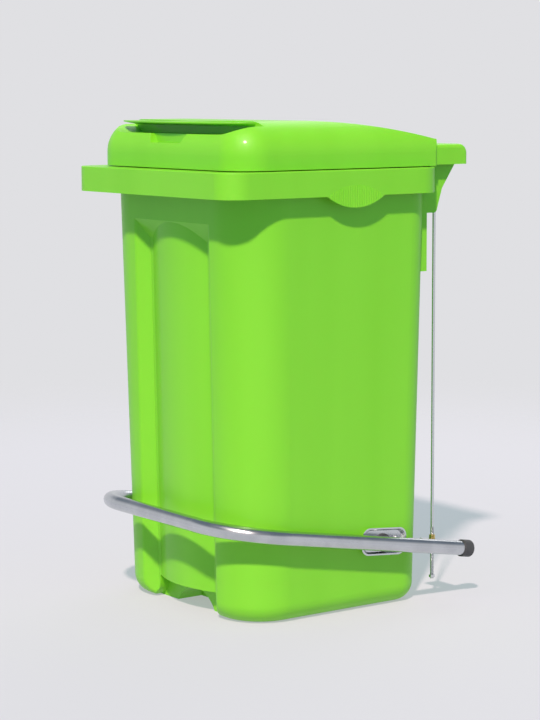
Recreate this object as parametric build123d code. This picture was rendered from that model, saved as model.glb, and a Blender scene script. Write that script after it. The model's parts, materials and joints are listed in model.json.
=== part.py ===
from build123d import *
import math
import os

# Pedal bin with a hinged lid. Millimetres, +Z up, front faces -Y.
# The origin lies on the floor under the middle of the bin.

# Container: a tapered tub with walls of one thickness
WALL = 3.6
TUB_TOP = 653.5
BASE_HALF_WIDTH = 175.5
BASE_FRONT = -168.0
BASE_REAR = 156.0
TOP_HALF_WIDTH = 188.2
TOP_FRONT = -180.5
TOP_REAR = 164.5
TUB_FRONT_RADIUS = 76.0
TUB_REAR_RADIUS = 40.0
BASE_EDGE_RADIUS = 28.0
FLOOR = 4.5
BASE_HEIGHT = 60.0

# Front of the container: two upright grooves with a bulge between them
GROOVE_CORNER_GAP = 3.0
GROOVE_SLOPE_WIDTH = 19.0
GROOVE_FLOOR_WIDTH = 6.5
GROOVE_DEPTH = 15.0
GROOVE_EDGE_RADIUS = 8.0
CREST_DEPTH = 0.6
GROOVE_HEAD_DROP = 76.0
GROOVE_RAMP = 28.0
GROOVE_OUTER = min(BASE_HALF_WIDTH, TOP_HALF_WIDTH) - TUB_FRONT_RADIUS - GROOVE_CORNER_GAP
GROOVE_FLOOR_OUTER = GROOVE_OUTER - GROOVE_SLOPE_WIDTH
GROOVE_FLOOR_INNER = GROOVE_FLOOR_OUTER - GROOVE_FLOOR_WIDTH

# Foot of the container: a toe space between two legs and an arched hollow behind it
TOE_HEIGHT = 35.0
TOE_DEPTH = 30.0
TOE_SIDE_GAP = 3.0
LEG_EDGE_RADIUS = 27.0
ARCH_HALF_WIDTH = 48.0
ARCH_HEIGHT = 27.0
ARCH_DEPTH = 42.0
TOE_HALF_WIDTH = GROOVE_FLOOR_INNER + TOE_SIDE_GAP

# Rim: a flat band with a deep skirt, and a grip tab on each side
RIM_SIDE_OVERHANG = 17.8
RIM_FRONT_OVERHANG = 39.5
RIM_REAR_OVERHANG = 5.5
RIM_FRONT_RADIUS = 36.5
RIM_REAR_RADIUS = 38.0
SKIRT_HEIGHT = 37.0
RIM_WALL = 3.2
TAB_CENTRE_Y = 4.0
TAB_HALF_LENGTH = 52.0
TAB_DROP = 17.0
TAB_RIB_PITCH = 3.2
TAB_RIB_RADIUS = 0.7
TAB_RIB_RISE = 15.5
TAB_RIB_SPAN = 46.0
RIM_HALF_WIDTH = TOP_HALF_WIDTH + RIM_SIDE_OVERHANG
RIM_FRONT = TOP_FRONT - RIM_FRONT_OVERHANG
RIM_REAR = TOP_REAR + RIM_REAR_OVERHANG
SKIRT_FOOT = TUB_TOP - SKIRT_HEIGHT

# Lid hinge, placed from the tub's rear top edge, and the two plates of each gusset that carry it
HINGE_SETBACK = 47.5
HINGE_RISE = 14.5
EAR_RADIUS = 9.0
GUSSET_INSET = 18.2
GUSSET_GAP = 12.0
GUSSET_PLATE = 4.0
GUSSET_FOOT_DROP = 68.8
GUSSET_RIB_DROP = 155.5
GUSSET_RIB_SETBACK = 1.1
GUSSET_SHOULDER_LEAD = 17.3
GUSSET_SHOULDER_DROP = 32.7
GUSSET_TOE_LEAD = 28.5
GUSSET_TOE_RADIUS = 6.0
GUSSET_CREST = 7.5
GUIDE_DROP = 41.5
GUIDE_THICKNESS = 4.0
PIN_RADIUS = 4.0
PIN_CLEARANCE = 0.06
PIN_HEAD_RADIUS = 6.5
PIN_HEAD = 2.5
PIN_TAIL = 1.0
CLIP_RADIUS = 7.0
CLIP_THICKNESS = 2.0
HINGE_Y = TOP_REAR + HINGE_SETBACK
HINGE_Z = TUB_TOP + HINGE_RISE
GUSSET_OUTER = TOP_HALF_WIDTH - GUSSET_INSET
GUSSET_MIDDLE = GUSSET_OUTER - GUSSET_PLATE - GUSSET_GAP / 2
GUSSET_INNER = GUSSET_OUTER - 2 * GUSSET_PLATE - GUSSET_GAP

# Lid: a domed shell that stands on the rim, with a hood over the hinge
LID_GAP = 1.5
LID_WALL = 3.2
LID_RISE = 70.0
LID_SIDE_OVERHANG = 0.8
LID_FRONT_OVERHANG = 9.5
LID_REAR_OVERHANG = 6.0
LID_FRONT_RADIUS = 50.0
LID_REAR_RADIUS = 5.0
LID_EDGE_RADIUS = 48.0
CROWN_END_Y = -60.0
CROWN_MID_Y = 60.0
CROWN_MID_DROP = 8.8
CROWN_REAR_DROP = 28.8
CROWN_REAR_INSET = 3.0
HOOD_SIDE_OVERHANG = 15.0
HOOD_REAR_OVERHANG = 20.5
HOOD_RISE = 18.5
HOOD_HEIGHT = 30.0
HOOD_EDGE_RADIUS = 14.0
HOOD_END_RADIUS = 6.0
NOTCH_SIDE_CLEARANCE = 1.5
NOTCH_ABOVE_HINGE = 4.5
LUG_THICKNESS = 9.0
LUG_RADIUS = 8.5
LUG_NOSE = 31.0
PAD_ANGLE = 30.0
LID_TOP = TUB_TOP + LID_RISE
LID_HALF_WIDTH = TOP_HALF_WIDTH + LID_SIDE_OVERHANG
LID_FRONT = TOP_FRONT - LID_FRONT_OVERHANG
LID_REAR = TOP_REAR + LID_REAR_OVERHANG
HOOD_HALF_WIDTH = GUSSET_OUTER + HOOD_SIDE_OVERHANG
HOOD_REAR = HINGE_Y + HOOD_REAR_OVERHANG
HOOD_TOP = HINGE_Z + HOOD_RISE

# Front of the lid: a thin lip over a finger scoop that has a lower notch in its middle
LIP_DROP = 1.5
LIP_EDGE = 1.8
LIP_DEPTH = 7.0
LIP_SIDE_INSET = 35.0
LIP_SIDE_SETBACK = 28.0
LIP_MID_SETBACK = 3.0
LIP_CORNER_RADIUS = 10.0
LIP_ROOT_INSET = 39.0
LIP_ROOT_SETBACK = 73.0
LIP_UNDER_SIDE_SETBACK = 47.0
LIP_UNDER_MID_SETBACK = 35.0
SCOOP_DROP = 19.0
SCOOP_FLAT_HALF_WIDTH = 120.0
SCOOP_END_RADIUS = 95.0
SCOOP_MID_SETBACK = 40.0
SCOOP_SIDE_SETBACK = 65.0
NOTCH_DROP = 13.5
NOTCH_TOP_HALF_WIDTH = 47.0
NOTCH_FLOOR_HALF_WIDTH = 38.5
NOTCH_SETBACK = 16.0
LIP_HALF_WIDTH = LID_HALF_WIDTH - LIP_SIDE_INSET
LIP_ROOT_HALF_WIDTH = LID_HALF_WIDTH - LIP_ROOT_INSET
LIP_TOP = LID_TOP - LIP_DROP
SCOOP_FLOOR = LID_TOP - SCOOP_DROP

# Pedal: one bent tube, drawn level here and then tilted about its pivot
PIVOT_Y = 74.0
PIVOT_Z = 99.3
PEDAL_TILT = 9.6
TUBE_RADIUS = 11.0
TUBE_WALL = 1.5
TUBE_SIDE_GAP = 7.5
TUBE_FRONT_GAP = 24.3
TUBE_BEND_RADIUS = 94.0
TUBE_TAIL = 17.2
CAP_LENGTH = 18.0
CAP_WALL = 2.0
CAP_PLUG = 14.0
CAP_COVER = 4.0
CAP_EDGE = 3.0

# Pivot: a pressed dish on each side, with a bush, a pin and two bolts
PAD_PROUD = 0.8
DISH_LENGTH = 84.0
DISH_HEIGHT = 41.0
DISH_CORNER = 14.0
DISH_SEAT_LENGTH = 72.0
DISH_SEAT_HEIGHT = 34.0
DISH_SEAT_CORNER = 11.0
DISH_RISE = 2.0
DISH_DEPTH = 6.5
DISH_SHEET = 2.2
DISH_TILT = 5.0
PIVOT_PIN_RADIUS = 5.0
PIVOT_CLEARANCE = 0.06
COLLAR_RADIUS = 10.0
BUSH_WALL = 2.5
BUSH_FLANGE = 2.0
BUSH_FLANGE_RADIUS = 13.5
RUNNING_GAP = 0.3
PIN_WASHER_RADIUS = 12.0
PIN_WASHER = 1.5
PIN_NUT_FLATS = 15.0
PIN_NUT = 6.0
PIVOT_TAIL = 2.0
BOLT_OFFSET = 27.0
BOLT_RISE = 3.0
BOLT_RADIUS = 3.0
BOLT_HEAD_RADIUS = 5.5
BOLT_HEAD = 3.3
BOLT_SOCKET_FLATS = 4.0
BOLT_SOCKET_DEPTH = 2.0
BOLT_WASHER_RADIUS = 9.0
BOLT_WASHER = 1.2
BOLT_NUT_FLATS = 10.0
BOLT_NUT = 5.0
BOLT_TAIL = 1.0
HOLE_CLEARANCE = 0.3
WALL_AT_PIVOT = BASE_HALF_WIDTH + PIVOT_Z / TUB_TOP * (TOP_HALF_WIDTH - BASE_HALF_WIDTH)
PAD_FACE = WALL_AT_PIVOT + PAD_PROUD
INNER_SEAT = WALL_AT_PIVOT - WALL - 2 * HOLE_CLEARANCE
TUBE_HALF_WIDTH = PAD_FACE + TUBE_SIDE_GAP + TUBE_RADIUS

# Push rods: one on each side, standing on a tab of the pedal tube
ROD_LEAD = 24.0
ROD_RADIUS = 2.5
ROD_TAIL = 60.6
ROD_CAP_RADIUS = 4.0
ROD_CAP_LENGTH = 14.0
ROD_CAP_COVER = 10.0
ROD_PAD_GAP = 0.3
ROD_HOLE_CLEARANCE = 0.3
TAB_THICKNESS = 3.0
TAB_TOP_OFFSET = 6.1
TAB_FRONT_REACH = 16.0
TAB_REAR_REACH = 14.0
TAB_INNER_REACH = 12.0
TAB_HOLE_RADIUS = 3.6
ROD_WASHER_RADIUS = 5.0
ROD_WASHER = 1.0
ROD_NUT_FLATS = 8.0
ROD_NUT = 5.5
ROD_SEAT_GAP = 0.1
END_NUT = 4.0
END_NUT_RISE = 2.0
ROD_X = GUSSET_MIDDLE
ROD_Y = HINGE_Y - ROD_LEAD

SIDES = {"left": -1, "right": 1}


def plan(half_width, front, rear, front_radius, rear_radius, height):
    """A rounded rectangle lying flat at one height."""
    face = make_face(
        Polyline(
            (-half_width, front),
            (half_width, front),
            (half_width, rear),
            (-half_width, rear),
            close=True,
        )
    )
    face = fillet(face.vertices().group_by(Axis.Y)[0], front_radius)
    face = fillet(face.vertices().group_by(Axis.Y)[-1], rear_radius)
    return Pos(0, 0, height) * face


def tub_plan(height, inset):
    """The container's outline at one height, moved in by the inset."""
    share = height / TUB_TOP
    return plan(
        BASE_HALF_WIDTH + share * (TOP_HALF_WIDTH - BASE_HALF_WIDTH) - inset,
        BASE_FRONT + share * (TOP_FRONT - BASE_FRONT) + inset,
        BASE_REAR + share * (TOP_REAR - BASE_REAR) - inset,
        TUB_FRONT_RADIUS - inset,
        TUB_REAR_RADIUS - inset,
        height,
    )


def tub_solid(bottom, inset):
    """The filled container from one height to its top."""
    block = loft([tub_plan(bottom, inset), tub_plan(TUB_TOP, inset)], ruled=True)
    return fillet(block.faces().sort_by(Axis.Z)[0].edges(), BASE_EDGE_RADIUS - inset)


def side_sketch(points):
    """A face in the YZ plane from (y, z) points."""
    return Plane.YZ * make_face(Polyline(*points, close=True))


def x_cylinder(radius, start, end, y, z):
    """A round bar along X between two places."""
    middle = (start + end) / 2
    return Pos(middle, y, z) * Rot(0, 90, 0) * Cylinder(radius, abs(end - start))


def hexagon_bar(flats, height):
    """A six-sided bar standing on its base."""
    return extrude(RegularPolygon(flats / 2, 6, major_radius=False), height)


def front_lean():
    """The angle by which the container's front leans out."""
    return math.degrees(math.atan2(BASE_FRONT - TOP_FRONT, TUB_TOP))


def groove_cutter(growth):
    """The space of the two front grooves, grown by a wall where the inside needs it."""
    outside = -GROOVE_DEPTH
    below = -FLOOR
    deep = GROOVE_DEPTH + growth
    crest = CREST_DEPTH + growth
    outer = GROOVE_OUTER + growth / 2
    outline = [
        Polyline((-outer, outside), (-outer, 0), (-GROOVE_FLOOR_OUTER, deep), (-GROOVE_FLOOR_INNER, deep)),
        ThreePointArc((-GROOVE_FLOOR_INNER, deep), (0, crest), (GROOVE_FLOOR_INNER, deep)),
        Polyline(
            (GROOVE_FLOOR_INNER, deep),
            (GROOVE_FLOOR_OUTER, deep),
            (outer, 0),
            (outer, outside),
            (-outer, outside),
        ),
    ]
    prism = extrude(make_face(outline), TUB_TOP)
    steep = GROOVE_RAMP / GROOVE_DEPTH
    top = TUB_TOP - GROOVE_HEAD_DROP + growth * math.hypot(1, steep)
    wedge = side_sketch(
        [
            (outside, below),
            (2 * deep, below),
            (2 * deep, top - 2 * deep * steep),
            (0, top),
            (outside, top),
        ]
    )
    prism = prism & extrude(wedge, 2 * outer, both=True)
    return Pos(0, BASE_FRONT, 0) * Rot(front_lean(), 0, 0) * prism


def rounded_grooves(shell):
    """The shell with the long outer edges of its grooves rounded."""
    long_edges = shell.edges().filter_by(lambda edge: edge.length > (TUB_TOP - GROOVE_HEAD_DROP) / 2)
    outer_edges = [
        edge
        for edge in long_edges
        if abs(abs(edge.center().X) - GROOVE_OUTER) < WALL and edge.center().Y < TOP_FRONT + GROOVE_DEPTH
    ]
    return fillet(outer_edges, GROOVE_EDGE_RADIUS)


def toe_cutter(growth):
    """The toe space between the rounded legs and the arched hollow behind it."""
    deep = TOE_DEPTH + growth
    half = TOE_HALF_WIDTH + growth
    leg = TOE_HALF_WIDTH + LEG_EDGE_RADIUS
    drop = LEG_EDGE_RADIUS - growth
    turn = drop * math.sqrt(0.5)
    front_view = make_face(
        [
            Polyline((half, LEG_EDGE_RADIUS), (half, TOE_HEIGHT + growth), (-half, TOE_HEIGHT + growth)),
            Line((-half, TOE_HEIGHT + growth), (-half, LEG_EDGE_RADIUS)),
            ThreePointArc((-half, LEG_EDGE_RADIUS), (turn - leg, LEG_EDGE_RADIUS - turn), (-leg, growth)),
            Polyline((-leg, growth), (-leg, -FLOOR), (leg, -FLOOR), (leg, growth)),
            ThreePointArc((leg, growth), (leg - turn, LEG_EDGE_RADIUS - turn), (half, LEG_EDGE_RADIUS)),
        ]
    )
    standing_front = Plane(origin=(0, BASE_FRONT, 0), x_dir=(1, 0, 0), z_dir=(0, -1, 0))
    space = extrude(standing_front * front_view, deep, both=True)
    arch_radius = (ARCH_HALF_WIDTH**2 + ARCH_HEIGHT**2) / (2 * ARCH_HEIGHT) + growth
    arch_centre = ARCH_HEIGHT + growth - arch_radius
    arch_end = BASE_FRONT + TOE_DEPTH + ARCH_DEPTH + growth
    arch_length = arch_end - BASE_FRONT
    arch = Pos(0, arch_end - arch_length / 2, arch_centre) * Rot(90, 0, 0) * Cylinder(
        arch_radius, arch_length
    )
    above_ground = Pos(0, 0, TUB_TOP / 2 - FLOOR) * Box(2 * BASE_HALF_WIDTH, 4 * BASE_HALF_WIDTH, TUB_TOP)
    return space + (arch & above_ground)


def rim():
    """The flat band round the opening with its skirt and grip tabs."""
    outer = plan(RIM_HALF_WIDTH, RIM_FRONT, RIM_REAR, RIM_FRONT_RADIUS, RIM_REAR_RADIUS, SKIRT_FOOT)
    inner = plan(
        RIM_HALF_WIDTH - RIM_WALL,
        RIM_FRONT + RIM_WALL,
        RIM_REAR - RIM_WALL,
        RIM_FRONT_RADIUS - RIM_WALL,
        RIM_REAR_RADIUS - RIM_WALL,
        SKIRT_FOOT,
    )
    block = extrude(outer, SKIRT_HEIGHT)
    edge = block.faces().sort_by(Axis.Z)[-1].edges()
    block = fillet(edge, RIM_WALL / 3) - extrude(inner, SKIRT_HEIGHT - RIM_WALL)
    tab_radius = (TAB_HALF_LENGTH**2 + TAB_DROP**2) / (2 * TAB_DROP)
    disc = x_cylinder(
        tab_radius, -RIM_HALF_WIDTH, RIM_HALF_WIDTH, TAB_CENTRE_Y, SKIRT_FOOT - TAB_DROP + tab_radius
    )
    slab = Pos(0, TAB_CENTRE_Y, SKIRT_FOOT) * Box(2 * RIM_HALF_WIDTH, 2 * TAB_HALF_LENGTH, 4 * TAB_DROP)
    tabs = (disc & slab) - Box(2 * (RIM_HALF_WIDTH - RIM_WALL), 4 * TAB_HALF_LENGTH, 3 * TUB_TOP)
    return block + tabs


def tab_ribs():
    """The fine upright ribs that fill a lens on each grip tab."""
    count = int(TAB_RIB_SPAN / TAB_RIB_PITCH)
    ribs = []
    for step in range(-count, count + 1):
        offset = step * TAB_RIB_PITCH
        share = 1 - (offset / TAB_HALF_LENGTH) ** 2
        low = SKIRT_FOOT - share * (TAB_DROP - TAB_RIB_RADIUS)
        high = SKIRT_FOOT + share * TAB_RIB_RISE
        for side in SIDES.values():
            rib = Pos(side * RIM_HALF_WIDTH, TAB_CENTRE_Y + offset, (low + high) / 2)
            ribs.append(rib * Cylinder(TAB_RIB_RADIUS, high - low))
    return ribs


def gusset(side):
    """Two plates behind the tub that carry the lid hinge, with a rib below and a rod guide."""
    root = BASE_REAR - TUB_REAR_RADIUS
    top = TUB_TOP - RIM_WALL / 2
    rib_foot = TUB_TOP - GUSSET_RIB_DROP
    foot = TUB_TOP - GUSSET_FOOT_DROP
    profile = side_sketch(
        [
            (root, rib_foot),
            (TOP_REAR + GUSSET_RIB_SETBACK, rib_foot),
            (TOP_REAR + GUSSET_RIB_SETBACK, foot),
            (HINGE_Y - GUSSET_TOE_LEAD, foot),
            (HINGE_Y - GUSSET_SHOULDER_LEAD, TUB_TOP - GUSSET_SHOULDER_DROP),
            (HINGE_Y + EAR_RADIUS, HINGE_Z - EAR_RADIUS),
            (HINGE_Y + EAR_RADIUS, HINGE_Z),
            (HINGE_Y - EAR_RADIUS, HINGE_Z),
            (HINGE_Y - EAR_RADIUS, TUB_TOP + GUSSET_CREST),
            (LID_REAR + LID_GAP, TUB_TOP + GUSSET_CREST),
            (LID_REAR + LID_GAP, top),
            (root, top),
        ]
    )
    toe = profile.vertices().sort_by_distance((0, HINGE_Y - GUSSET_TOE_LEAD, foot))[0]
    profile = fillet(toe, GUSSET_TOE_RADIUS)
    plate = extrude(profile, GUSSET_PLATE) + x_cylinder(EAR_RADIUS, 0, GUSSET_PLATE, HINGE_Y, HINGE_Z)
    outer_plate = Pos(GUSSET_OUTER - GUSSET_PLATE, 0, 0) * plate
    inner_plate = Pos(GUSSET_INNER, 0, 0) * plate
    guide_length = ROD_Y + 2 * ROD_RADIUS - root
    guide_height = TUB_TOP - GUIDE_DROP
    guide = Pos(ROD_X, root + guide_length / 2, guide_height) * Box(
        GUSSET_GAP + GUSSET_PLATE, guide_length, GUIDE_THICKNESS
    )
    bracket = outer_plate + inner_plate + guide
    bracket -= Pos(ROD_X, ROD_Y, guide_height) * Cylinder(
        ROD_RADIUS + ROD_HOLE_CLEARANCE, 4 * GUIDE_THICKNESS
    )
    bracket -= x_cylinder(PIN_RADIUS + PIN_CLEARANCE, 0, 2 * GUSSET_OUTER, HINGE_Y, HINGE_Z)
    return bracket if side > 0 else mirror(bracket, about=Plane.YZ)


def dish_outline(x, length, height, corner):
    """A tilted oblong with rounded corners, upright at one X behind the pedal pivot."""
    flat = Rot(0, 0, -DISH_TILT) * RectangleRounded(length, height, corner)
    return Plane(origin=(x, PIVOT_Y, PIVOT_Z + DISH_RISE), x_dir=(0, 1, 0), z_dir=(1, 0, 0)) * flat


def bolt_places():
    """The (y, z) places of the two bolts of one dish."""
    tilt = math.radians(DISH_TILT)
    middle = PIVOT_Z + DISH_RISE + BOLT_RISE
    return [
        (PIVOT_Y + way * BOLT_OFFSET * math.cos(tilt), middle - way * BOLT_OFFSET * math.sin(tilt))
        for way in (-1, 1)
    ]


def tub():
    """The whole tub, open at the top, with the holes that its fittings need."""
    shell = tub_solid(0, 0)
    seat_start = BASE_HALF_WIDTH - 4 * WALL
    seat = extrude(
        dish_outline(seat_start, DISH_SEAT_LENGTH, DISH_SEAT_HEIGHT, DISH_SEAT_CORNER),
        PAD_FACE - seat_start,
    )
    shell += seat + mirror(seat, about=Plane.YZ)
    shell -= groove_cutter(0)
    shell = rounded_grooves(shell)
    shell -= toe_cutter(0)
    hollow = tub_solid(FLOOR, WALL)
    hollow -= groove_cutter(WALL)
    hollow -= toe_cutter(WALL)
    shell -= hollow
    through = 2 * PAD_FACE
    shell -= x_cylinder(PIVOT_PIN_RADIUS + BUSH_WALL, -through, through, PIVOT_Y, PIVOT_Z)
    for y, z in bolt_places():
        shell -= x_cylinder(BOLT_RADIUS + HOLE_CLEARANCE, -through, through, y, z)
    return shell


def below_base_top():
    """All the space up to the height where the tub's walls stand on its base."""
    return Pos(0, 0, BASE_HEIGHT) * Box(
        4 * TOP_HALF_WIDTH,
        4 * TOP_HALF_WIDTH,
        2 * TUB_TOP,
        align=(Align.CENTER, Align.CENTER, Align.MAX),
    )


def rim_band():
    """The rim round the tub's mouth, with the ribs on its grip tabs."""
    return rim() - tub_solid(0, 0) + tab_ribs()


def gusset_outside(side):
    """One gusset as it stands behind the tub, below and behind the rim."""
    return gusset(side) - tub_solid(0, 0) - rim()


def hood_solid(inset):
    """The filled hood behind the dome, with its outer faces moved in by the inset."""
    front = LID_REAR - LID_WALL + inset
    rear = HOOD_REAR - inset
    bottom = HOOD_TOP - HOOD_HEIGHT
    profile = side_sketch(
        [
            (front, bottom),
            (rear, bottom),
            (rear, HOOD_TOP - inset),
            (front, HOOD_TOP - inset),
        ]
    )
    rear_edge = profile.vertices().sort_by_distance((0, rear, HOOD_TOP))[0]
    profile = fillet(rear_edge, HOOD_EDGE_RADIUS - inset)
    hood = extrude(profile, HOOD_HALF_WIDTH - inset, both=True)
    ends = hood.faces().sort_by(Axis.X)
    end_edges = ends[0].edges() + ends[-1].edges()
    rounded = [edge for edge in end_edges if edge.center().Z > bottom and edge.center().Y > front]
    return fillet(rounded, HOOD_END_RADIUS - inset)


def lid_solid(inset):
    """The filled dome and hood, with every outer face moved in by the inset."""
    foot = TUB_TOP + LID_GAP
    top = LID_TOP - inset
    footprint = plan(
        LID_HALF_WIDTH - inset,
        LID_FRONT + inset,
        LID_REAR - inset,
        LID_FRONT_RADIUS - inset,
        LID_REAR_RADIUS - inset,
        foot,
    )
    longer = plan(
        LID_HALF_WIDTH - inset,
        LID_FRONT + inset,
        HOOD_REAR,
        LID_FRONT_RADIUS - inset,
        LID_REAR_RADIUS - inset,
        foot,
    )
    block = extrude(longer, top - foot)
    front_and_sides = block.faces().sort_by(Axis.Z)[-1].edges().sort_by(Axis.Y)[:-3]
    dome = fillet(front_and_sides, LID_EDGE_RADIUS - inset) & extrude(footprint, top - foot)
    crown_rear = LID_REAR - CROWN_REAR_INSET
    rear_top = top - CROWN_REAR_DROP
    above = LID_TOP + LID_WALL
    above_crown = make_face(
        [
            ThreePointArc((CROWN_END_Y, top), (CROWN_MID_Y, top - CROWN_MID_DROP), (crown_rear, rear_top)),
            Polyline(
                (crown_rear, rear_top),
                (HOOD_REAR, rear_top),
                (HOOD_REAR, above),
                (CROWN_END_Y, above),
                (CROWN_END_Y, top),
            ),
        ]
    )
    dome -= extrude(Plane.YZ * above_crown, LID_HALF_WIDTH, both=True)
    return dome + hood_solid(inset)


def scoop_cutter(growth):
    """The finger space under the lid's front lip, with its lower notch."""
    reach = LID_FRONT - LID_WALL
    facing_front = Plane(origin=(0, reach, 0), x_dir=(1, 0, 0), z_dir=(0, -1, 0))
    height = SCOOP_DROP + growth
    end_radius = SCOOP_END_RADIUS + growth
    slot = Pos(0, SCOOP_FLOOR + SCOOP_END_RADIUS) * SlotCenterToCenter(
        2 * SCOOP_FLAT_HALF_WIDTH, 2 * end_radius
    )
    below_top = Pos(0, LID_TOP - height / 2) * Rectangle(3 * LID_HALF_WIDTH, height)
    scoop = extrude(facing_front * (slot & below_top), reach - CROWN_END_Y)
    side = LID_HALF_WIDTH + growth
    side_back = LID_FRONT + SCOOP_SIDE_SETBACK + growth
    middle_back = LID_FRONT + SCOOP_MID_SETBACK + growth
    outline = make_face(
        [
            ThreePointArc((-side, side_back), (0, middle_back), (side, side_back)),
            Polyline((side, side_back), (side, reach), (-side, reach), (-side, side_back)),
        ]
    )
    scoop = scoop & extrude(Pos(0, 0, SCOOP_FLOOR - growth) * outline, height)
    notch_floor = SCOOP_FLOOR - NOTCH_DROP - growth
    notch = make_face(
        Polyline(
            (-NOTCH_FLOOR_HALF_WIDTH - growth, notch_floor),
            (NOTCH_FLOOR_HALF_WIDTH + growth, notch_floor),
            (NOTCH_TOP_HALF_WIDTH + growth, SCOOP_FLOOR),
            (-NOTCH_TOP_HALF_WIDTH - growth, SCOOP_FLOOR),
            close=True,
        )
    )
    return scoop + extrude(facing_front * notch, -(NOTCH_SETBACK + LID_WALL + growth))


def lip_outline(half_width, side_setback, mid_setback, height):
    """The lip's plan at one height: a bowed front edge, two rounded corners and a straight root."""
    side_y = LID_FRONT + side_setback
    root_y = LID_FRONT + LIP_ROOT_SETBACK
    face = make_face(
        [
            ThreePointArc((-half_width, side_y), (0, LID_FRONT + mid_setback), (half_width, side_y)),
            Polyline(
                (half_width, side_y),
                (LIP_ROOT_HALF_WIDTH, root_y),
                (-LIP_ROOT_HALF_WIDTH, root_y),
                (-half_width, side_y),
            ),
        ]
    )
    face = fillet(face.vertices().group_by(Axis.Y)[0], LIP_CORNER_RADIUS)
    return Pos(0, 0, height) * face


def lip():
    """The thin lip over the scoop, whose underside slopes down to its root."""
    under_edge = LIP_TOP - LIP_EDGE
    blade = extrude(lip_outline(LIP_HALF_WIDTH, LIP_SIDE_SETBACK, LIP_MID_SETBACK, under_edge), LIP_EDGE)
    wedge = loft(
        [
            lip_outline(
                LIP_ROOT_HALF_WIDTH, LIP_UNDER_SIDE_SETBACK, LIP_UNDER_MID_SETBACK, LID_TOP - LIP_DEPTH
            ),
            lip_outline(LIP_HALF_WIDTH, LIP_SIDE_SETBACK, LIP_MID_SETBACK, under_edge),
        ],
        ruled=True,
    )
    return blade + wedge


def lug(side):
    """The lid's hinge lug, whose lower nose rests on the push rod's cap."""
    inner = GUSSET_MIDDLE - LUG_THICKNESS / 2
    roof = HOOD_TOP - LID_WALL / 2
    nose_drop = LUG_NOSE * math.tan(math.radians(PAD_ANGLE))
    profile = side_sketch(
        [
            (HINGE_Y, HINGE_Z),
            (HINGE_Y - LUG_NOSE, HINGE_Z - nose_drop),
            (HINGE_Y - LUG_NOSE, roof),
            (HINGE_Y + LUG_RADIUS, roof),
            (HINGE_Y + LUG_RADIUS, HINGE_Z),
        ]
    )
    plate = extrude(profile, LUG_THICKNESS) + x_cylinder(LUG_RADIUS, 0, LUG_THICKNESS, HINGE_Y, HINGE_Z)
    plate = Pos(inner, 0, 0) * plate
    plate -= x_cylinder(PIN_RADIUS + PIN_CLEARANCE, 0, LID_HALF_WIDTH, HINGE_Y, HINGE_Z)
    return plate if side > 0 else mirror(plate, about=Plane.YZ)


def lid():
    """The moulded lid: a shell with the scoop, the lip and two hinge lugs."""
    shell = lid_solid(0) - scoop_cutter(0) + lip()
    shell -= lid_solid(LID_WALL) - scoop_cutter(LID_WALL)
    notch_width = GUSSET_GAP + 2 * GUSSET_PLATE + 2 * NOTCH_SIDE_CLEARANCE
    notch_top = HINGE_Z + NOTCH_ABOVE_HINGE
    for side in SIDES.values():
        shell -= Pos(side * GUSSET_MIDDLE, HOOD_REAR, notch_top) * Box(
            notch_width,
            2 * (HOOD_REAR - HINGE_Y - EAR_RADIUS),
            notch_top - TUB_TOP,
            align=(Align.CENTER, Align.CENTER, Align.MAX),
        )
        shell += lug(side)
    return shell


def both_sides(piece):
    """The piece and its mirror image, keyed by the side they sit on."""
    return {"right": piece, "left": mirror(piece, about=Plane.YZ)}


def dish():
    """The pressed steel dish that carries the pedal, bolted to the tub's side."""
    outer = loft(
        [
            dish_outline(PAD_FACE, DISH_SEAT_LENGTH, DISH_SEAT_HEIGHT, DISH_SEAT_CORNER),
            dish_outline(PAD_FACE + DISH_DEPTH, DISH_LENGTH, DISH_HEIGHT, DISH_CORNER),
        ]
    )
    inner = loft(
        [
            dish_outline(
                PAD_FACE + DISH_SHEET,
                DISH_SEAT_LENGTH - DISH_SHEET,
                DISH_SEAT_HEIGHT - DISH_SHEET,
                DISH_SEAT_CORNER - DISH_SHEET / 2,
            ),
            dish_outline(
                PAD_FACE + DISH_DEPTH + DISH_SHEET / 2,
                DISH_LENGTH - 2 * DISH_SHEET + DISH_SHEET / 2,
                DISH_HEIGHT - 2 * DISH_SHEET + DISH_SHEET / 2,
                DISH_CORNER - DISH_SHEET / 2,
            ),
        ]
    )
    sheet = outer - inner
    sheet -= x_cylinder(PIVOT_PIN_RADIUS + BUSH_WALL, 0, 2 * PAD_FACE, PIVOT_Y, PIVOT_Z)
    for y, z in bolt_places():
        sheet -= x_cylinder(BOLT_RADIUS + HOLE_CLEARANCE, 0, 2 * PAD_FACE, y, z)
    return sheet


def pivot_bush():
    """The plastic sleeve in the dish and the tub wall, with a flange under the pin's collar."""
    seat = PAD_FACE + DISH_SHEET
    sleeve = x_cylinder(PIVOT_PIN_RADIUS + BUSH_WALL, INNER_SEAT, seat, PIVOT_Y, PIVOT_Z)
    flange = x_cylinder(BUSH_FLANGE_RADIUS, seat, seat + BUSH_FLANGE, PIVOT_Y, PIVOT_Z)
    bore = x_cylinder(PIVOT_PIN_RADIUS + PIVOT_CLEARANCE, 0, 2 * PAD_FACE, PIVOT_Y, PIVOT_Z)
    return sleeve + flange - bore


def pivot_pin():
    """The pin welded to the tube: its collar meets the tube, its end passes into the tub."""
    collar_start = PAD_FACE + DISH_SHEET + BUSH_FLANGE + RUNNING_GAP
    end = INNER_SEAT - RUNNING_GAP - PIN_WASHER - PIN_NUT - PIVOT_TAIL
    shank = x_cylinder(PIVOT_PIN_RADIUS, end, TUBE_HALF_WIDTH, PIVOT_Y, PIVOT_Z)
    collar = x_cylinder(COLLAR_RADIUS, collar_start, TUBE_HALF_WIDTH, PIVOT_Y, PIVOT_Z)
    return shank + collar - pedal_bar(TUBE_RADIUS)


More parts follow.
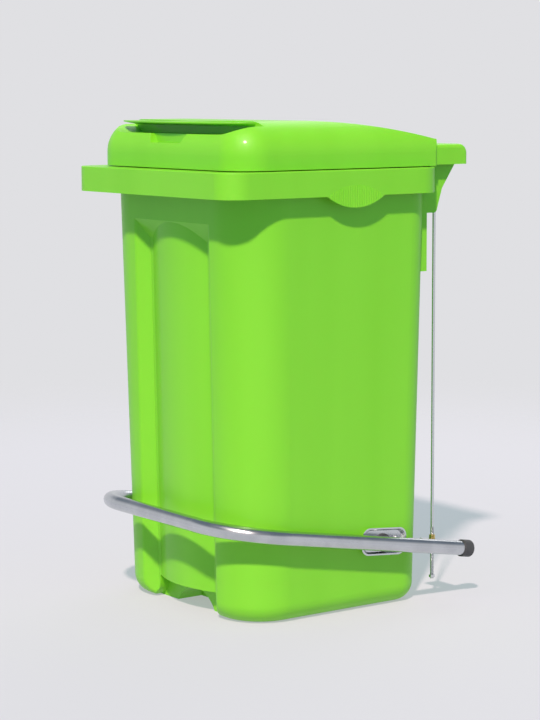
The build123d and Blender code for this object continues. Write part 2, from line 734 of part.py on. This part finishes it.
def inside_nut(flats, height, bore, face, y, z):
    """A nut standing on a face inside the tub, its axis along X."""
    nut = hexagon_bar(flats, height) - Cylinder(bore, 3 * height)
    return Plane(origin=(face, y, z), x_dir=(0, 1, 0), z_dir=(-1, 0, 0)) * nut


def pivot_washer():
    """The wide washer between the pin's nut and the tub's inner wall."""
    face = INNER_SEAT - RUNNING_GAP
    disc = x_cylinder(PIN_WASHER_RADIUS, face - PIN_WASHER, face, PIVOT_Y, PIVOT_Z)
    return disc - x_cylinder(PIVOT_PIN_RADIUS, 0, PAD_FACE, PIVOT_Y, PIVOT_Z)


def pivot_nut():
    """The locking nut on the inner end of the pin."""
    face = INNER_SEAT - RUNNING_GAP - PIN_WASHER
    return inside_nut(PIN_NUT_FLATS, PIN_NUT, PIVOT_PIN_RADIUS, face, PIVOT_Y, PIVOT_Z)


def dish_bolt(y, z):
    """A round-headed bolt from the dish through the tub wall."""
    seat = PAD_FACE + DISH_SHEET
    end = INNER_SEAT - BOLT_WASHER - BOLT_NUT - BOLT_TAIL
    head = x_cylinder(BOLT_HEAD_RADIUS, seat, seat + BOLT_HEAD, y, z)
    head = fillet(head.faces().sort_by(Axis.X)[-1].edges(), BOLT_HEAD / 2)
    socket_floor = Plane(
        origin=(seat + BOLT_HEAD - BOLT_SOCKET_DEPTH, y, z), x_dir=(0, 1, 0), z_dir=(1, 0, 0)
    )
    head -= socket_floor * hexagon_bar(BOLT_SOCKET_FLATS, 2 * BOLT_SOCKET_DEPTH)
    return head + x_cylinder(BOLT_RADIUS, end, seat, y, z)


def dish_washer(y, z):
    """The washer under a bolt's nut."""
    disc = x_cylinder(BOLT_WASHER_RADIUS, INNER_SEAT - BOLT_WASHER, INNER_SEAT, y, z)
    return disc - x_cylinder(BOLT_RADIUS, 0, PAD_FACE, y, z)


def dish_nut(y, z):
    """The nut on a bolt's inner end."""
    return inside_nut(BOLT_NUT_FLATS, BOLT_NUT, BOLT_RADIUS, INNER_SEAT - BOLT_WASHER, y, z)


def hinge_pin():
    """The lid's pin through one gusset, its head outside."""
    end = GUSSET_INNER - CLIP_THICKNESS - PIN_TAIL
    shank = x_cylinder(PIN_RADIUS, end, GUSSET_OUTER, HINGE_Y, HINGE_Z)
    head = x_cylinder(PIN_HEAD_RADIUS, GUSSET_OUTER, GUSSET_OUTER + PIN_HEAD, HINGE_Y, HINGE_Z)
    head = fillet(head.faces().sort_by(Axis.X)[-1].edges(), PIN_HEAD / 2)
    return shank + head


def hinge_clip():
    """The push-on ring that keeps the hinge pin in."""
    ring = x_cylinder(CLIP_RADIUS, GUSSET_INNER - CLIP_THICKNESS, GUSSET_INNER, HINGE_Y, HINGE_Z)
    return ring - x_cylinder(PIN_RADIUS, 0, GUSSET_OUTER, HINGE_Y, HINGE_Z)


def tilted(piece):
    """A piece drawn level about the pivot, turned to the pedal's rest angle."""
    return Pos(0, PIVOT_Y, PIVOT_Z) * Rot(-PEDAL_TILT, 0, 0) * piece


def tube_front_reach():
    """How far the tube runs forward from the pivot, to pass in front of the leaning tub."""
    tilt = math.radians(PEDAL_TILT)
    lean = (TOP_FRONT - BASE_FRONT) / TUB_TOP
    level_reach = PIVOT_Y - BASE_FRONT - lean * PIVOT_Z + TUBE_FRONT_GAP + TUBE_RADIUS
    return level_reach / (math.cos(tilt) + lean * math.sin(tilt))


def rod_reach():
    """How far behind the pivot the push rod crosses the tab's middle, along the tilted tube."""
    tilt = math.radians(PEDAL_TILT)
    middle = TAB_TOP_OFFSET - TAB_THICKNESS / 2
    return (ROD_Y - PIVOT_Y - middle * math.sin(tilt)) / math.cos(tilt)


def tube_rear_reach():
    """How far the tube runs back from the pivot, past the rod's tab."""
    return rod_reach() + TAB_REAR_REACH + TUBE_TAIL


def pedal_path():
    """The tube's centre line, level, with the pivot at Y 0."""
    return FilletPolyline(
        (TUBE_HALF_WIDTH, tube_rear_reach(), 0),
        (TUBE_HALF_WIDTH, -tube_front_reach(), 0),
        (-TUBE_HALF_WIDTH, -tube_front_reach(), 0),
        (-TUBE_HALF_WIDTH, tube_rear_reach(), 0),
        radius=TUBE_BEND_RADIUS,
    )


def pedal_bar(radius):
    """A solid bar of one radius along the tube's centre line, at its rest angle."""
    path = pedal_path()
    start = Plane(origin=path @ 0, z_dir=path % 0)
    return tilted(sweep(start * Circle(radius), path=path))


def pedal_tube():
    """The bent tube, hollow from end to end."""
    return pedal_bar(TUBE_RADIUS) - pedal_bar(TUBE_RADIUS - TUBE_WALL)


def end_cap():
    """The black plastic cap that plugs and covers one end of the tube."""
    sleeve = TUBE_RADIUS + CAP_WALL
    start = tube_rear_reach() - CAP_COVER
    cover = Cylinder(sleeve, CAP_LENGTH, align=(Align.CENTER, Align.CENTER, Align.MIN))
    cover = fillet(cover.faces().sort_by(Axis.Z)[-1].edges(), CAP_EDGE)
    cover -= Cylinder(TUBE_RADIUS, CAP_COVER, align=(Align.CENTER, Align.CENTER, Align.MIN))
    plug = Pos(0, 0, CAP_COVER - CAP_PLUG) * Cylinder(
        TUBE_RADIUS - TUBE_WALL, CAP_PLUG, align=(Align.CENTER, Align.CENTER, Align.MIN)
    )
    along = Plane(origin=(TUBE_HALF_WIDTH, start, 0), x_dir=(1, 0, 0), z_dir=(0, 1, 0))
    return tilted(along * (cover + plug))


def rod_tab():
    """The flat tab welded inside the tube, holed for the push rod."""
    inner = ROD_X - TAB_INNER_REACH
    plate = Pos(inner, rod_reach() - TAB_FRONT_REACH, TAB_TOP_OFFSET) * Box(
        TUBE_HALF_WIDTH - inner,
        TAB_FRONT_REACH + TAB_REAR_REACH,
        TAB_THICKNESS,
        align=(Align.MIN, Align.MIN, Align.MAX),
    )
    inner_edges = plate.edges().filter_by(Axis.Z).sort_by(Axis.X)[:2]
    plate = fillet(inner_edges, TAB_THICKNESS)
    plate -= Pos(ROD_X, rod_reach(), TAB_TOP_OFFSET) * Cylinder(TAB_HOLE_RADIUS, 3 * TAB_THICKNESS)
    return tilted(plate) - pedal_bar(TUBE_RADIUS)


def tab_top():
    """The height of the tilted tab's upper face on the rod's line."""
    tilt = math.radians(PEDAL_TILT)
    return PIVOT_Z - (ROD_Y - PIVOT_Y) * math.tan(tilt) + TAB_TOP_OFFSET / math.cos(tilt)


def rod_seat():
    """The height at which the rod's washer stands on the tilted tab."""
    return tab_top() + ROD_WASHER_RADIUS * math.tan(math.radians(PEDAL_TILT)) + ROD_SEAT_GAP


def rod_foot():
    """The height of the rod's lower end."""
    return tab_top() - ROD_TAIL


def rod_dome_centre():
    """The height of the cap's dome centre, just under the lug's sloping nose."""
    angle = math.radians(PAD_ANGLE)
    reach = HINGE_Y - ROD_Y
    return HINGE_Z - (reach * math.sin(angle) + ROD_CAP_RADIUS) / math.cos(angle) - ROD_PAD_GAP


def standing(radius, low, high):
    """A round bar on the rod's line between two heights."""
    return Pos(ROD_X, ROD_Y, (low + high) / 2) * Cylinder(radius, high - low)


def rod_cap():
    """The domed plastic cap on top of the push rod."""
    top = rod_dome_centre()
    body = standing(ROD_CAP_RADIUS, top - ROD_CAP_LENGTH, top)
    dome = Pos(ROD_X, ROD_Y, top) * Sphere(ROD_CAP_RADIUS)
    return body + dome - standing(ROD_RADIUS, top - 2 * ROD_CAP_LENGTH, top - ROD_CAP_LENGTH + ROD_CAP_COVER)


def push_rod():
    """The straight steel rod from under the pedal tab to the lid's lug."""
    return standing(ROD_RADIUS, rod_foot(), rod_dome_centre() - ROD_CAP_LENGTH + ROD_CAP_COVER)


def rod_washer():
    """The washer between the tab and the rod's nut."""
    low = rod_seat()
    return standing(ROD_WASHER_RADIUS, low, low + ROD_WASHER) - standing(ROD_RADIUS, 0, TUB_TOP)


def rod_nut():
    """The nut that takes the pedal's push."""
    low = rod_seat() + ROD_WASHER
    return Pos(ROD_X, ROD_Y, low) * hexagon_bar(ROD_NUT_FLATS, ROD_NUT) - standing(ROD_RADIUS, 0, TUB_TOP)


def end_nut():
    """The stop nut near the rod's foot."""
    return Pos(ROD_X, ROD_Y, rod_foot() + END_NUT_RISE) * hexagon_bar(ROD_NUT_FLATS, END_NUT) - standing(
        ROD_RADIUS, 0, TUB_TOP
    )


def on_each_bolt(make):
    """Four copies of a fastener, two on each side, as one group of solids."""
    right = [make(y, z) for y, z in bolt_places()]
    return Compound(children=right + [mirror(piece, about=Plane.YZ) for piece in right])


def pieces():
    """Every node of the bin by name."""
    whole_tub = tub()
    nodes = {
        "bin_body": whole_tub - below_base_top(),
        "bin_base": whole_tub & below_base_top(),
        "rim_band": rim_band(),
        "lid": lid(),
        "pedal_tube": pedal_tube(),
    }
    for name, side in SIDES.items():
        nodes[f"gusset_{name}"] = gusset_outside(side)
    paired = {
        "pivot_dish": dish(),
        "pivot_bush": pivot_bush(),
        "pivot_pin": pivot_pin(),
        "pivot_washer": pivot_washer(),
        "pivot_nut": pivot_nut(),
        "hinge_pin": hinge_pin(),
        "hinge_clip": hinge_clip(),
        "tube_end_cap": end_cap(),
        "rod_tab": rod_tab(),
        "push_rod": push_rod(),
        "rod_cap": rod_cap(),
        "rod_washer": rod_washer(),
        "rod_nut": rod_nut(),
        "rod_end_nut": end_nut(),
    }
    for name, piece in paired.items():
        for side, placed in both_sides(piece).items():
            nodes[f"{name}_{side}"] = placed
    nodes["dish_bolts"] = on_each_bolt(dish_bolt)
    nodes["dish_bolt_washers"] = on_each_bolt(dish_washer)
    nodes["dish_bolt_nuts"] = on_each_bolt(dish_nut)
    return nodes


os.makedirs("parts", exist_ok=True)
for node, piece in pieces().items():
    export_step(piece, f"parts/{node}.step")
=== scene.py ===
import json
import math

import bpy
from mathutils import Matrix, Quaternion, Vector


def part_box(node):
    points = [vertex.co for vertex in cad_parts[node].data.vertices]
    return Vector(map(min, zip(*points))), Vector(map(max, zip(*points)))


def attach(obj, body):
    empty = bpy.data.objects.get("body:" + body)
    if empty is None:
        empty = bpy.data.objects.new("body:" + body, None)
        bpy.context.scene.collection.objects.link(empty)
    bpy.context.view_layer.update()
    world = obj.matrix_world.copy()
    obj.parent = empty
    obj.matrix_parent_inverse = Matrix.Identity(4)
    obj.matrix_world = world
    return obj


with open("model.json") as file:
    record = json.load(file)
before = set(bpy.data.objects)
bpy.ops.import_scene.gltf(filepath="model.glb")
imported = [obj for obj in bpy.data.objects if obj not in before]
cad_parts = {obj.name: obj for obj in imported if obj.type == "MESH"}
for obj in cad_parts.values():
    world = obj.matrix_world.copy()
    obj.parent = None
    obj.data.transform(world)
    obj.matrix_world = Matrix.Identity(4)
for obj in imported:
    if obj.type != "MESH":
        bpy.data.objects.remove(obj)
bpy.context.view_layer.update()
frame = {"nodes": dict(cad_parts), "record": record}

nodes = frame["nodes"]
scene = bpy.context.scene
scene.view_settings.view_transform = "Standard"

# Camera: a long lens at a person's waist height, looking at the middle of the bin
# from its front right corner.
camera_turn = math.radians(53.86)
camera_lift = math.radians(7.11)
camera_roll = math.radians(-0.17)
camera_distance = 3.3193
camera_target = Vector((0, 0, 0.360))
camera_lens = 109.35
camera_sensor = 36
camera_back = Vector(
    (
        math.sin(camera_turn) * math.cos(camera_lift),
        -math.cos(camera_turn) * math.cos(camera_lift),
        math.sin(camera_lift),
    )
)
bpy.ops.object.camera_add(location=camera_target + camera_back * camera_distance)
camera = bpy.context.object
camera.name = "camera"
camera.data.lens = camera_lens
camera.data.sensor_width = camera_sensor
camera.rotation_mode = "QUATERNION"
camera.rotation_quaternion = (-camera_back).to_track_quat("-Z", "Y") @ Quaternion((0, 0, 1), camera_roll)
scene.camera = camera

# Container and lid: lime green polyethylene, satin and a little translucent, with the
# soft upright streaks that the melt leaves in the mould and a faint, slow waviness.


def finish_material(name, colour, roughness, metallic=0.0):
    """A new surface material with its shader, and the node tree it lives in."""
    material = bpy.data.materials.new(name)
    material.use_nodes = True
    tree = material.node_tree
    shader = tree.nodes["Principled BSDF"]
    shader.inputs["Base Color"].default_value = (*colour, 1)
    shader.inputs["Roughness"].default_value = roughness
    shader.inputs["Metallic"].default_value = metallic
    return material, tree, shader


def object_noise(tree, scale, detail, stretch=(1, 1, 1)):
    """Noise that follows the piece's own coordinates, stretched where the finish has a grain."""
    place = tree.nodes.new("ShaderNodeTexCoord")
    mapping = tree.nodes.new("ShaderNodeMapping")
    mapping.inputs["Scale"].default_value = stretch
    noise = tree.nodes.new("ShaderNodeTexNoise")
    noise.inputs["Scale"].default_value = scale
    noise.inputs["Detail"].default_value = detail
    tree.links.new(place.outputs["Object"], mapping.inputs["Vector"])
    tree.links.new(mapping.outputs["Vector"], noise.inputs["Vector"])
    return noise.outputs["Fac"]


def drift(tree, noise, shader, socket, low, high):
    """Lets the noise move one of the shader's sockets between two values."""
    noise_low = 0.3
    noise_high = 0.7
    ramp = tree.nodes.new("ShaderNodeMapRange")
    ramp.inputs["From Min"].default_value = noise_low
    ramp.inputs["From Max"].default_value = noise_high
    ramp.inputs["To Min"].default_value = low
    ramp.inputs["To Max"].default_value = high
    tree.links.new(noise, ramp.inputs["Value"])
    tree.links.new(ramp.outputs["Result"], shader.inputs[socket])


def two_colours(tree, noise, shader, first, second):
    """Lets the noise mix two colours of the finish."""
    noise_low = 0.35
    noise_high = 0.65
    ramp = tree.nodes.new("ShaderNodeValToRGB")
    ramp.color_ramp.elements[0].position = noise_low
    ramp.color_ramp.elements[1].position = noise_high
    ramp.color_ramp.elements[0].color = (*first, 1)
    ramp.color_ramp.elements[1].color = (*second, 1)
    tree.links.new(noise, ramp.inputs["Fac"])
    tree.links.new(ramp.outputs["Color"], shader.inputs["Base Color"])


def relief(tree, noise, shader, depth):
    """Raises the surface a little by the noise, to a depth in metres."""
    bump = tree.nodes.new("ShaderNodeBump")
    bump.inputs["Strength"].default_value = 1.0
    bump.inputs["Distance"].default_value = depth
    tree.links.new(noise, bump.inputs["Height"])
    tree.links.new(bump.outputs["Normal"], shader.inputs["Normal"])


lime = (0.2, 0.6, 0.02)
lime_dark = (0.193, 0.585, 0.018)
lime_light = (0.209, 0.615, 0.024)
green, green_tree, green_shader = finish_material("green plastic", lime, roughness=0.5)
green_shader.inputs["Specular IOR Level"].default_value = 0.36
green_shader.inputs["Coat Weight"].default_value = 0.2
green_shader.inputs["Coat Roughness"].default_value = 0.14
green_shader.inputs["Subsurface Weight"].default_value = 0.15
green_shader.inputs["Subsurface Radius"].default_value = (0.3, 1.0, 0.1)
green_shader.inputs["Subsurface Scale"].default_value = 0.006
green_streaks = object_noise(green_tree, scale=11, detail=2, stretch=(1, 1, 0.07))
green_sheen = object_noise(green_tree, scale=6, detail=1)
green_waves = object_noise(green_tree, scale=3, detail=1)
two_colours(green_tree, green_streaks, green_shader, lime_dark, lime_light)
drift(green_tree, green_sheen, green_shader, "Roughness", low=0.46, high=0.54)
relief(green_tree, green_waves, green_shader, depth=0.0005)

# Pedal: galvanised steel tube with welded tabs and pins. The zinc is smooth and dull
# silver, with a faint mottle.
tube_silver = (0.55, 0.57, 0.6)
tube_silver_dark = (0.53, 0.55, 0.58)
tube_silver_light = (0.6, 0.62, 0.65)
zinc_tube, zinc_tube_tree, zinc_tube_shader = finish_material(
    "galvanised tube", tube_silver, roughness=0.22, metallic=1.0
)
tube_mottle = object_noise(zinc_tube_tree, scale=35, detail=3)
tube_sheen = object_noise(zinc_tube_tree, scale=50, detail=3)
two_colours(zinc_tube_tree, tube_mottle, zinc_tube_shader, tube_silver_dark, tube_silver_light)
drift(zinc_tube_tree, tube_sheen, zinc_tube_shader, "Roughness", low=0.2, high=0.27)

# Dishes, rods, pins, bolts and their nuts: steel with a bright, smooth zinc plating.
bright_silver = (0.62, 0.65, 0.67)
zinc, zinc_tree, zinc_shader = finish_material("bright zinc", bright_silver, roughness=0.25, metallic=1.0)
zinc_sheen = object_noise(zinc_tree, scale=90, detail=2)
drift(zinc_tree, zinc_sheen, zinc_shader, "Roughness", low=0.22, high=0.29)

# Nut and washer on each rod, over the pedal's tab: steel with a yellow zinc plating.
brassy = (0.6, 0.48, 0.16)
yellow, yellow_tree, yellow_shader = finish_material("yellow zinc", brassy, roughness=0.3, metallic=1.0)
yellow_sheen = object_noise(yellow_tree, scale=200, detail=3)
drift(yellow_tree, yellow_sheen, yellow_shader, "Roughness", low=0.25, high=0.4)

# Tube end caps, rod caps and pivot bushes: black plastic with a fine moulded grain.
soot = (0.05, 0.05, 0.055)
black, black_tree, black_shader = finish_material("black plastic", soot, roughness=0.55)
black_sheen = object_noise(black_tree, scale=120, detail=4)
black_grain = object_noise(black_tree, scale=900, detail=2)
drift(black_tree, black_sheen, black_shader, "Roughness", low=0.5, high=0.7)
relief(black_tree, black_grain, black_shader, depth=0.00004)

# Every solid of the frame keeps its shape and takes the finish of its slot.
finish_of = {
    "green_plastic": green,
    "tube_steel": zinc_tube,
    "zinc_steel": zinc,
    "yellow_zinc": yellow,
    "black_plastic": black,
}
for part in frame["record"]["subparts"]:
    nodes[part["node"]].data.materials.clear()
    nodes[part["node"]].data.materials.append(finish_of[part["material_slot"]])

# Rod threads: a rolled thread on the lower end of each push rod, from above the nut
# that takes the pedal's push down to the stop nut.


def centre_of(node):
    """The middle of a CAD node's box."""
    low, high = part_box(node)
    return (Vector(low) + Vector(high)) / 2


thread_pitch = 0.0008
thread_tooth = 0.00042
thread_above_nut = 0.012
thread_turn_steps = 14
for side in ("left", "right"):
    rod_middle = centre_of(f"push_rod_{side}")
    thread_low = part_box(f"push_rod_{side}")[0][2] + thread_pitch
    thread_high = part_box(f"rod_nut_{side}")[1][2] + thread_above_nut
    rod_radius = (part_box(f"push_rod_{side}")[1][0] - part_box(f"push_rod_{side}")[0][0]) / 2
    bpy.ops.object.select_all(action="DESELECT")
    bpy.ops.mesh.primitive_circle_add(
        vertices=3, radius=thread_tooth, location=(rod_radius, 0, 0), rotation=(math.radians(90), 0, 0)
    )
    thread = bpy.context.object
    thread.name = f"rod_thread_{side}"
    bpy.ops.object.transform_apply(location=True, rotation=True, scale=True)
    turning = thread.modifiers.new("turns", "SCREW")
    turning.axis = "Z"
    turning.screw_offset = thread_pitch
    turning.iterations = round((thread_high - thread_low) / thread_pitch)
    turning.steps = thread_turn_steps
    turning.render_steps = thread_turn_steps
    bpy.ops.object.modifier_apply(modifier=turning.name)
    thread.location = (rod_middle.x, rod_middle.y, thread_low)
    bpy.ops.object.transform_apply(location=True, rotation=True, scale=True)
    thread.data.materials.append(zinc)
    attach(thread, f"rod_{side}")

# Tab welds: a rippled bead along the upper and the lower side of each tab, where the
# tab meets the tube.
weld_bead = 0.002
weld_pitch = 0.0014
weld_count = 19
weld_roundness = 2
weld_rise = weld_bead * 0.3
tab_half_thickness = 0.0015
tube_radius = 0.011
weld_reach = tube_radius * 0.93
for side, way in (("left", -1), ("right", 1)):
    tab_middle = centre_of(f"rod_tab_{side}")
    tube_end = centre_of(f"tube_end_cap_{side}")
    pin_middle = centre_of(f"pivot_pin_{side}")
    tube_slope = math.atan2(tube_end.z - pin_middle.z, tube_end.y - pin_middle.y)
    for level in (-1, 1):
        bpy.ops.object.select_all(action="DESELECT")
        bpy.ops.mesh.primitive_ico_sphere_add(
            subdivisions=weld_roundness, radius=weld_bead, location=(0, 0, 0)
        )
        bead = bpy.context.object
        bead.name = f"tab_weld_{side}_{'upper' if level > 0 else 'lower'}"
        ripple = bead.modifiers.new("ripple", "ARRAY")
        ripple.use_relative_offset = False
        ripple.use_constant_offset = True
        ripple.constant_offset_displace = (0, weld_pitch, 0)
        ripple.count = weld_count
        bpy.ops.object.modifier_apply(modifier=ripple.name)
        bead.location = (0, -weld_pitch * (weld_count - 1) / 2, 0)
        bpy.ops.object.transform_apply(location=True, rotation=True, scale=True)
        bead.rotation_euler = (tube_slope, 0, 0)
        bead_x = tube_end.x - way * weld_reach
        bead_z = tab_middle.z + level * (tab_half_thickness + weld_rise)
        bead.location = (bead_x, tab_middle.y, bead_z)
        bpy.ops.object.transform_apply(location=True, rotation=True, scale=True)
        bead.data.materials.append(zinc_tube)
        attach(bead, "pedal")

# Floor: a round sheet of pale paper that fades into the pale sky, so that no horizon
# shows. Half of its paleness is its own, which keeps the shadows on it light.
backdrop = (0.745, 0.745, 0.768)
floor_colour = (0.61, 0.575, 0.645)
floor_roughness = 0.95
floor_gloss = 0.1
floor_glow_share = 0.5
floor_radius = 3.0
floor_fade_start = 1.2
floor_fade_end = 2.6

bpy.ops.object.select_all(action="DESELECT")
bpy.ops.mesh.primitive_circle_add(vertices=96, radius=floor_radius, fill_type="NGON", location=(0, 0, 0))
floor = bpy.context.object
floor.name = "floor"
floor_material, floor_tree, floor_shader = finish_material("floor paper", floor_colour, floor_roughness)
floor_shader.inputs["Specular IOR Level"].default_value = floor_gloss
floor_light = floor_tree.nodes.new("ShaderNodeEmission")
floor_light.inputs["Color"].default_value = (*backdrop, 1)
floor_lit = floor_tree.nodes.new("ShaderNodeMixShader")
floor_lit.inputs["Fac"].default_value = floor_glow_share
floor_place = floor_tree.nodes.new("ShaderNodeTexCoord")
floor_distance = floor_tree.nodes.new("ShaderNodeVectorMath")
floor_distance.operation = "LENGTH"
floor_fade = floor_tree.nodes.new("ShaderNodeMapRange")
floor_fade.interpolation_type = "SMOOTHSTEP"
floor_fade.inputs["From Min"].default_value = floor_fade_start
floor_fade.inputs["From Max"].default_value = floor_fade_end
floor_clear = floor_tree.nodes.new("ShaderNodeBsdfTransparent")
floor_mix = floor_tree.nodes.new("ShaderNodeMixShader")
floor_tree.links.new(floor_place.outputs["Object"], floor_distance.inputs[0])
floor_tree.links.new(floor_distance.outputs["Value"], floor_fade.inputs["Value"])
floor_tree.links.new(floor_fade.outputs["Result"], floor_mix.inputs["Fac"])
floor_tree.links.new(floor_shader.outputs["BSDF"], floor_lit.inputs[1])
floor_tree.links.new(floor_light.outputs["Emission"], floor_lit.inputs[2])
floor_tree.links.new(floor_lit.outputs["Shader"], floor_mix.inputs[1])
floor_tree.links.new(floor_clear.outputs["BSDF"], floor_mix.inputs[2])
floor_output = floor_tree.nodes["Material Output"]
floor_tree.links.new(floor_mix.outputs["Shader"], floor_output.inputs["Surface"])
floor.data.materials.append(floor_material)

# Sky: pale at the horizon and darker overhead where it is seen or mirrored, and a dim
# blue where it only lights.
overhead = (0.17, 0.21, 0.26)
skylight = (0.15, 0.4, 0.45)
pale_sky_until = 0.3
dark_sky_from = 0.62
world = bpy.data.worlds.new("sky")
world.use_nodes = True
sky_tree = world.node_tree
sky_place = sky_tree.nodes.new("ShaderNodeTexCoord")
sky_split = sky_tree.nodes.new("ShaderNodeSeparateXYZ")
sky_ramp = sky_tree.nodes.new("ShaderNodeValToRGB")
sky_ramp.color_ramp.interpolation = "EASE"
sky_ramp.color_ramp.elements[0].position = pale_sky_until
sky_ramp.color_ramp.elements[0].color = (*backdrop, 1)
sky_ramp.color_ramp.elements[1].position = dark_sky_from
sky_ramp.color_ramp.elements[1].color = (*overhead, 1)
sky_rays = sky_tree.nodes.new("ShaderNodeLightPath")
camera_or_glossy = sky_tree.nodes.new("ShaderNodeMath")
camera_or_glossy.operation = "ADD"
seen_rays = sky_tree.nodes.new("ShaderNodeMath")
seen_rays.operation = "ADD"
seen_rays.use_clamp = True
sky_seen = sky_tree.nodes["Background"]
sky_dim = sky_tree.nodes.new("ShaderNodeBackground")
sky_dim.inputs["Color"].default_value = (*skylight, 1)
sky_mix = sky_tree.nodes.new("ShaderNodeMixShader")
sky_tree.links.new(sky_place.outputs["Generated"], sky_split.inputs["Vector"])
sky_tree.links.new(sky_split.outputs["Z"], sky_ramp.inputs["Fac"])
sky_tree.links.new(sky_ramp.outputs["Color"], sky_seen.inputs["Color"])
sky_tree.links.new(sky_rays.outputs["Is Camera Ray"], camera_or_glossy.inputs[0])
sky_tree.links.new(sky_rays.outputs["Is Glossy Ray"], camera_or_glossy.inputs[1])
sky_tree.links.new(camera_or_glossy.outputs["Value"], seen_rays.inputs[0])
sky_tree.links.new(sky_rays.outputs["Is Transmission Ray"], seen_rays.inputs[1])
sky_tree.links.new(seen_rays.outputs["Value"], sky_mix.inputs["Fac"])
sky_tree.links.new(sky_dim.outputs["Background"], sky_mix.inputs[1])
sky_tree.links.new(sky_seen.outputs["Background"], sky_mix.inputs[2])
sky_tree.links.new(sky_mix.outputs["Shader"], sky_tree.nodes["World Output"].inputs["Surface"])
scene.world = world

# Lamps: a small high sun for the crisp shadows, and two wide lamps that fill the front
# and the back.
lamp_distance = 3.5


def aimed_lamp(kind, name, turn, lift, power, colour):
    """A lamp at a turn and height in degrees round the bin, looking at its middle."""
    turn, lift = math.radians(turn), math.radians(lift)
    back = Vector((math.sin(turn) * math.cos(lift), -math.cos(turn) * math.cos(lift), math.sin(lift)))
    bpy.ops.object.light_add(type=kind, location=camera_target + back * lamp_distance)
    light = bpy.context.object
    light.name = name
    light.rotation_mode = "QUATERNION"
    light.rotation_quaternion = (-back).to_track_quat("-Z", "Y")
    light.data.energy = power
    light.data.color = colour
    return light.data


sun = aimed_lamp("SUN", "sun lamp", turn=44, lift=47.3, power=4.4, colour=(1.0, 0.82, 0.74))
sun.angle = math.radians(3)
front_fill = aimed_lamp("AREA", "front lamp", turn=20, lift=60, power=5, colour=(1.0, 0.97, 0.92))
front_fill.size = 1.6
rear_fill = aimed_lamp("AREA", "rear lamp", turn=215, lift=40, power=22, colour=(1.0, 0.98, 0.95))
rear_fill.size = 2.0
